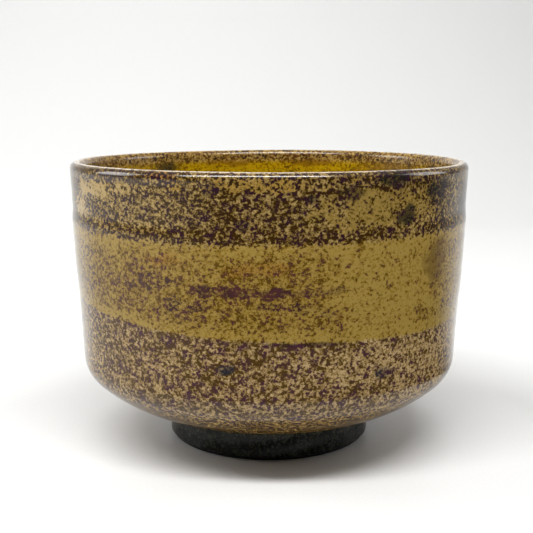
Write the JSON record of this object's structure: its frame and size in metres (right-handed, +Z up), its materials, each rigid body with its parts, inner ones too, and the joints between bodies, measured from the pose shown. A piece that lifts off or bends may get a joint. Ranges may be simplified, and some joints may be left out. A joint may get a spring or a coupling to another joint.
{
  "type": "matcha bowl",
  "caption": "Half-cylinder tea bowl with near-upright walls, a rounded underside and a low foot ring, in two overlapping coats of speckled glaze.",
  "frame": {"origin": "centre of the circle that the foot stands on", "axes": "+Z up along the bowl's axis, out of the mouth; +Y away from the side that faces the viewer"},
  "size_m": [0.12, 0.12, 0.0855],
  "materials": {
    "stoneware": "fired stoneware body, hidden under the glazes",
    "bare_foot_clay": "bare fired clay, matt and slightly gritty",
    "inner_glaze": "glossy amber glaze with brown specks",
    "lip_glaze": "glossy glaze, thin over the lip, thick with iron-brown specks",
    "upper_dip_glaze": "glossy olive-gold glaze with dense aubergine-brown specks",
    "lower_dip_glaze": "glossy tan glaze with dense purple-brown specks",
    "dark_foot_glaze": "near-black glaze with grey-green mottling, satin gloss",
    "dark_recess_glaze": "near-black glaze with grey-green mottling, satin gloss"
  },
  "bodies": {
    "root": {"clay_bowl": "stoneware", "foot_ring": "bare_foot_clay", "inner_glaze": "inner_glaze", "lip_glaze": "lip_glaze", "upper_dip_glaze": "upper_dip_glaze", "lower_dip_glaze": "lower_dip_glaze", "foot_glaze": "dark_foot_glaze", "recess_glaze": "dark_recess_glaze"}
  },
  "joints": []
}
